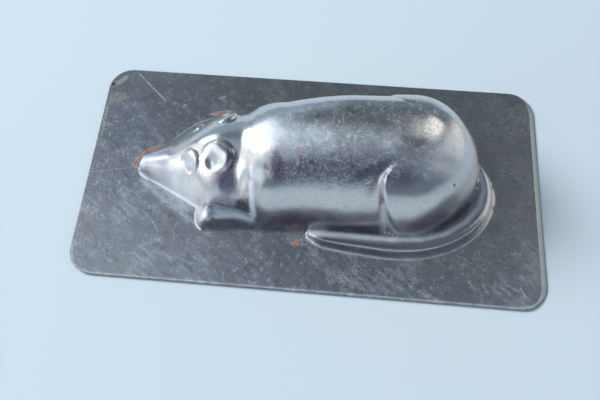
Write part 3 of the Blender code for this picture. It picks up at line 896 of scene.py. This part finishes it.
class Patterns:
    """The noises and masks of the sheet, each a wire made from the place in millimetres."""

    def __init__(self, graph):
        place = graph.node("TexCoord", out=3)
        place = place.vector("MULTIPLY", (1.0 / MM,) * 3)
        flat = place.vector("MULTIPLY", (1.0, 1.0, 0.0))
        shift = flat.node("TexNoise", None,
                          {"Vector": flat, "Scale": RAGGED_SCALE, "Detail": 3.0}, out=1)
        shift = shift.vector("SUBTRACT", (0.5, 0.5, 0.5))
        self.place = place
        self.flat = flat
        self.ragged = flat.vector("ADD", shift.vector("MULTIPLY", (RAGGED_SHIFT, RAGGED_SHIFT, 0.0)))
        self.wear, self.cut, self.edge = (
            place.node("Attribute", {"attribute_name": name}, out=2)
            for name in ("wear", "cut", "edge"))
        self.add_noises()
        self.add_regions()
        self.add_spots()
        self.add_lines()

    def add_noises(self):
        """Noises, from patches as wide as a thumb down to grain of under a millimetre."""
        place = self.place
        self.patch = place.noise(26.0, 2.0)
        self.flow = place.noise(9.0, 3.0, 0.6)
        self.mottle = place.noise(4.5, 5.0, 0.68, 0.8)
        self.cloud = self.mottle.between(0.36, 0.64)
        self.fleck = place.noise(2.2, 5.0, 0.78, 0.3)
        self.wrinkle = place.noise(1.5, 4.0, 0.65, 1.0)
        self.fine = place.noise(0.8, 4.0, 0.7)
        self.grain = place.noise(0.7, 3.0, 0.85)
        self.streaks = stretched(place, WIPED_TURN, WIPED_LENGTH, WIPED_WIDTH).noise(1.0, 6.0, 0.75, 0.4)
        self.smear = self.streaks * place.noise(15.0, 3.0).between(0.40, 0.60, 0.35, 1.0)

    def add_regions(self):
        """The low walls, the back, its bloom, and the plate, more towards its near left end."""
        along, across, high = (self.place.node("SeparateXYZ", None, {0: self.place}, out=i)
                               for i in range(3))
        worn_end = (along * 0.4 + across).between(50.0, -50.0, 0.25, 1.0)
        # Low walls, full from 4 to 9 mm up and gone by 1.5 and 17 mm: their darkening is painted shade.
        self.low_wall_shade = high.between(1.5, 4.0) * high.between(17.0, 9.0)
        self.back = high.between(25.0, 32.0)
        self.bloom = (high + self.flow * 5.0).between(32.4, 36.6)
        self.worn_plate = high.between(3.0, 1.0) * worn_end

    def add_spots(self):
        """The tables of spots, crumbled by noises where the metal is eaten away."""
        crumbs = self.place.noise(0.9, 4.0, 0.7)
        rust = spots(self.ragged, RUST) * crumbs.between(0.30, 0.54)
        for here, there in zip(RUST_LINE[:-1], RUST_LINE[1:]):
            rust = rust + scratch(self.ragged, *here, *there, RUST_LINE_WIDTH) * crumbs.between(0.30, 0.52)
        self.rust = rust.node("Clamp", None, {0: rust})
        self.tarnish = spots(self.ragged, TARNISH) * self.place.noise(1.4, 4.0, 0.7).between(0.30, 0.56)
        self.brown = spots(self.ragged, BROWN)
        # Stains that are partly painted shade on the lower sides.
        self.stain_and_shade = spots(self.ragged, STAINS_AND_SHADE)
        # Dark spots of painted shade.
        self.dark_shade = spots(self.flat, DARK_SHADE_SPOTS)
        self.peel = spot(self.ragged, *PEEL_SPOT)
        self.frost = spot(self.flat, *FROST_SPOT)

    def add_lines(self):
        """Hairlines, the coarse streaks drawn below the cheek, and the single scratches."""
        place = self.place
        hair = sum(hairs(place, turn, length, HAIRLINE_WIDTH) for turn, length in HAIRLINES)
        self.hair = hair * place.noise(12.0, 2.0).between(0.38, 0.58)
        self.drawn = spot(self.flat, *DRAWN_SPOT) * hairs(place, -30.0, 9.0, 0.5, 0.6)
        marks = sum(scratch(self.flat, *ends, SCRATCH_WIDTH) * strength for *ends, strength in SCRATCHES)
        self.marks = marks * place.noise(1.2, 2.0).between(0.30, 0.52)


print("hairlines run", len(HAIRLINES), "ways")

# %% [markdown]
# The colour starts as the tin's warm pale grey. Over it lie plum and blue tints, darker
# grain, painted shade on the low walls and darker streaks, then stains that are partly
# painted shade, painted shade in the wrinkle hollows and in dark spots, and tan, then
# rust and brown, and last painted shade on the dragged-down edge and the dark cut, which
# is partly painted shadow. Each layer is one mix of the colour so far with a new one, by
# its mask.

# %% Colour of the tin
TIN = (0.67, 0.645, 0.62, 1.0)
TIN_WARM = (0.68, 0.645, 0.60, 1.0)
TIN_PLUM = (0.62, 0.585, 0.61, 1.0)
# Darker tin for grain and streaks, and painted shade on the low walls.
TIN_DARK_AND_SHADE = (0.38, 0.38, 0.40, 1.0)
TIN_BLUE = (0.54, 0.62, 0.72, 1.0)
# Dark blue-grey of the painted shade spots.
PAINTED_SHADE = (0.20, 0.235, 0.27, 1.0)
# Purple-grey of the stains, which is partly painted shade.
STAIN_AND_SHADE = (0.21, 0.185, 0.25, 1.0)
TAN = (0.40, 0.37, 0.27, 1.0)
RUST_BRIGHT = (0.52, 0.15, 0.035, 1.0)
RUST_DARK = (0.16, 0.06, 0.025, 1.0)
DARK_BROWN = (0.07, 0.035, 0.02, 1.0)
# Painted shade: the dark grey-green of the dragged-down slope at the right end.
SLOPE_SHADE = (0.27, 0.33, 0.32, 1.0)
# Bare steel of the cut, darkened further as a painted contact shadow along the edge.
CUT_STEEL_AND_SHADOW = (0.07, 0.05, 0.045, 1.0)


def tin_colour(on):
    """Mixes each layer's colour over the ones before it, by the layer's mask."""
    layers = (
        (on.mottle.between(0.40, 0.62) * 0.5, TIN_PLUM),
        (on.place.noise(3.2, 5.0, 0.75, 1.0).between(0.52, 0.66) * 0.5, TIN_BLUE),
        (on.fine.between(0.48, 0.72) * 0.6 + on.grain.between(0.5, 0.75) * 0.3, TIN_DARK_AND_SHADE),
        # Painted shade: the low walls of the figure darker.
        (on.low_wall_shade * 0.5, TIN_DARK_AND_SHADE),
        (on.worn_plate * on.streaks.between(0.50, 0.36) * 0.65, TIN_DARK_AND_SHADE),
        # Stains, partly painted shade on the lower sides.
        (on.stain_and_shade * (0.45 + on.wrinkle * 0.9), STAIN_AND_SHADE),
        # Painted shade: the hollows of the wrinkles on the flank darker in the stain colour.
        (on.peel * on.wrinkle.between(0.50, 0.40) * 0.5, STAIN_AND_SHADE),
        # Painted shade spots.
        (on.dark_shade, PAINTED_SHADE),
        (on.tarnish * 0.8, TAN),
        (on.rust, on.place.noise(0.7, 3.0).mix(RUST_DARK, RUST_BRIGHT)),
        (on.brown, DARK_BROWN),
        # Painted shade on the dragged-down slope at the right end.
        (on.edge.between(0.0, 0.6) * 0.95, SLOPE_SHADE),
        # The cut: bare steel, darker as painted shadow.
        (on.cut, CUT_STEEL_AND_SHADOW),
    )
    colour = on.patch.between(0.38, 0.62).mix(TIN, TIN_WARM)
    for mask, layer_colour in layers:
        colour = mask.mix(colour, layer_colour)
    return colour


print("colour of a stain:", STAIN_AND_SHADE[:3])

# %% [markdown]
# Worn tin shows two finishes at once: clear spots that still mirror the room, and fine
# haze that scatters the light. One roughness between the two would look like plastic,
# so the material mixes a clear metal and a hazy one, point by point. Grain, flecks,
# hairlines, wiped smears, wear and scratches add to the haze, and along the painted
# highlight lines the hazy metal is paler too; stains with their painted shade, the dark
# spots of painted shade and the dark cut take from it. Bump adds the orange-peel of
# drawn metal and the wrinkles on the flank.

# %% Tinned steel
HAZE = (0.64, 0.71, 0.77, 1.0)
# Pale satin of worn places, and a painted highlight along the thin lines at the feet, the near rim and the
# small eye's edge.
FROST_AND_SHEEN = (0.82, 0.90, 0.98, 1.0)
HAZE_METAL, HAZE_ROUGHNESS = 0.35, 0.5
BUMP_STRENGTH, BUMP_DISTANCE = 0.22, 0.2 * MM


def tin_haze(on):
    """The share of hazy metal: a sum of masks, each times how far it clouds the mirror."""
    haze = on.grain.between(0.42, 0.72) * (0.13 - on.low_wall_shade * 0.10)
    haze = haze + on.bloom * (on.cloud * 0.08 + on.fleck.between(0.50, 0.66) * 0.12)
    haze = haze + on.back * (on.fleck.between(0.52, 0.68) * 0.20 + on.hair * 0.55)
    haze = haze + on.worn_plate * (on.fleck.between(0.52, 0.70) * 0.4 + on.hair * 0.26)
    haze = haze + on.worn_plate * on.smear.between(0.38, 0.64) * 0.24 + on.hair * 0.10
    haze = haze + on.wear * (0.40 + on.cloud * 0.25 + on.grain * 0.35)
    haze = haze + on.peel * on.wrinkle.between(0.50, 0.62) * 0.24
    haze = haze + on.frost * on.grain.between(0.44, 0.60) * 0.6
    haze = haze * (1.0 - on.stain_and_shade * 0.5) * (1.0 - on.dark_shade * 0.5) * (1.0 - on.cut * 0.8)
    return haze + on.marks * 0.24 + on.drawn * 0.24


def tin_bump(on):
    """Orange-peel, rust, hairlines and wrinkles as heights that add up, less the scratches."""
    height = on.fine * 0.45 + on.place.noise(2.4, 2.0) * 0.5 - on.marks * 0.6 + on.rust * 0.6
    height = height + on.hair * 0.25 + on.drawn * 1.6 + on.peel * on.wrinkle * 6.0
    return height.node("Bump", None, {
        "Strength": BUMP_STRENGTH, "Distance": BUMP_DISTANCE, "Height": height})


def tinned_steel():
    """A clear metal and a hazy one with the same bump, mixed by the haze."""
    material = bpy.data.materials.new("tinned_steel")
    material.use_nodes = True
    material.node_tree.nodes.clear()
    on = Patterns(Wire(material.node_tree))
    metal = 1.0 - on.rust * 0.9 - on.brown * 0.9 - on.tarnish * 0.4 - on.cut * 0.6
    rough = 0.16 + on.flow.between(0.35, 0.65) * 0.05 + on.rust * 0.5
    rough = rough + on.tarnish * 0.3 + on.stain_and_shade * 0.06 + on.wear * 0.16
    bump = tin_bump(on)
    clear = bump.node("BsdfPrincipled", None, {
        "Base Color": tin_colour(on), "Metallic": metal, "Roughness": rough, "Normal": bump})
    # The hazy metal turns pale along the worn lines; the thin ones at the feet, the rim and the small eye
    # are painted highlights.
    hazy = bump.node("BsdfPrincipled", None, {
        "Base Color": on.wear.mix(HAZE, FROST_AND_SHEEN), "Metallic": HAZE_METAL,
        "Roughness": HAZE_ROUGHNESS, "Normal": bump})
    shader = bump.node("MixShader", None, {0: tin_haze(on), 1: clear, 2: hazy})
    shader.node("OutputMaterial", None, {"Surface": shader})
    return material


sheet.data.materials.append(tinned_steel())
print("nodes in the metal:", len(sheet.data.materials[0].node_tree.nodes))

# %% [markdown]
# A mirror shows the room, so the room matters as much as the metal. The floor is a
# plain pale blue table top, which shows again in the lower walls of the figure.

# %% Floor
FLOOR_GAP = 0.3
FLOOR_HALF = 2500.0
FLOOR_COLOUR = (0.63, 0.735, 0.79, 1.0)
FLOOR_ROUGHNESS, FLOOR_SPECULAR = 0.9, 0.2


def make_floor():
    """A large square just below the plate."""
    corners = np.array([(-1, -1), (1, -1), (1, 1), (-1, 1)]) * FLOOR_HALF
    floor = add_mesh("floor", with_height(corners, -FLOOR_GAP), [(0, 1, 2, 3)])
    material = bpy.data.materials.new("table_top")
    material.use_nodes = True
    shader = material.node_tree.nodes["Principled BSDF"]
    shader.inputs["Base Color"].default_value = FLOOR_COLOUR
    shader.inputs["Roughness"].default_value = FLOOR_ROUGHNESS
    shader.inputs["Specular IOR Level"].default_value = FLOOR_SPECULAR
    floor.data.materials.append(material)
    return floor


floor = make_floor()
print("floor top at", -FLOOR_GAP, "mm")

# %% [markdown]
# Two soft boxes light the scene. The fill is large and far away on the left. It lights
# the table and the haze on the metal, and the clear metal doesn't mirror it, because
# the window that it does mirror is drawn in the room below. The other is a small weak
# lamp close above the rump, for the soft warm sheen there.

# %% Lamps
WARM_LAMP = {"bearing": 56, "elevation": 54, "distance": 60, "size": (18, 24),
             "power": 0.00017, "colour": (1, 0.97, 0.92), "aim": (41, 8.5, 34)}
WARM_SPREAD = math.radians(50.0)
FILL = {"bearing": 165, "elevation": 32, "distance": 3500, "size": (1600, 1300),
        "power": 150, "colour": (0.98, 0.98, 1), "aim": (0, 0, 0)}


def soft_box(name, size, power, colour, **stand):
    """A flat lamp of a size and a power, turned to its aim from where it stands."""
    data = bpy.data.lights.new(name, "AREA")
    data.shape = "RECTANGLE"
    data.size, data.size_y = size[0] * MM, size[1] * MM
    data.energy = power
    data.color = colour
    lamp = bpy.data.objects.new(name, data)
    put(lamp, **stand)
    return lamp


warm_lamp = soft_box("warm_lamp", **WARM_LAMP)
warm_lamp.data.spread = WARM_SPREAD
warm_lamp.visible_camera = False
fill = soft_box("fill", **FILL)
fill.visible_glossy = False
print("lamps:", warm_lamp.name, fill.name)

# %% [markdown]
# The rest of the room is the world: dim, with soft glows where the metal mirrors
# something bright. The window shows as the patch on the shoulder, and a metal plate
# looks grey on a pale table only because it mirrors the dim ceiling. A row gives a
# glow's bearing, its height angle, how far out it ends and where it is full, all in
# degrees, and its colour. What the camera itself sees past the table is plain.

# %% Room
ROOM = (0.155, 0.20, 0.265, 1.0)
GLOWS = (
    ("window", 157, 31, 15, 8, (2.8, 2.95, 3.1, 1)),
    ("low window", -149, 8, 24, 11, (2.3, 2.4, 2.5, 1)),
    ("near window", -176, 24, 20, 8, (1.3, 1.42, 1.52, 1)),
    ("left wall", -166, -4, 42, 22, (1, 1.06, 1.14, 1)),
    ("far left wall", 128, 16, 36, 14, (0.34, 0.46, 0.58, 1)),
    ("right wall", 18, 8, 34, 20, (0.98, 1, 1, 1)),
    ("high right wall", 16, 36, 26, 12, (0.72, 0.76, 0.76, 1)),
    ("near side", -112, 42, 40, 20, (0.105, 0.115, 0.175, 1)),
    ("left ceiling", -172, 58, 30, 8, (0.38, 0.46, 0.56, 1)),
    ("far ceiling", 74, 54, 36, 12, (0.10, 0.125, 0.145, 1)),
)
BACKDROP = (0.62, 0.76, 0.87, 1.0)


def make_room():
    """A dim world with soft glows, each by the cosine of the angle to its middle."""
    world = bpy.data.worlds.new("room")
    bpy.context.scene.world = world
    world.use_nodes = True
    world.node_tree.nodes.clear()
    direction = Wire(world.node_tree).node("TexCoord", out=0)
    direction = direction.vector("NORMALIZE", (0.0, 0.0, 0.0))
    colour = ROOM
    for _, bearing, elevation, outer, inner, glow in GLOWS[::-1]:
        near = direction.vector("DOT_PRODUCT", towards(bearing, elevation), out=1)
        share = near.between(math.cos(math.radians(outer)), math.cos(math.radians(inner)))
        colour = share.mix(colour, glow)
    colour = direction.node("LightPath", out=0).mix(colour, BACKDROP)
    shader = colour.node("Background", None, {"Color": colour, "Strength": 1.0})
    shader.node("OutputWorld", None, {"Surface": shader})


make_room()
print("glows in the room:", len(GLOWS))

# %% Finish
bpy.context.scene.view_settings.view_transform = "Standard"
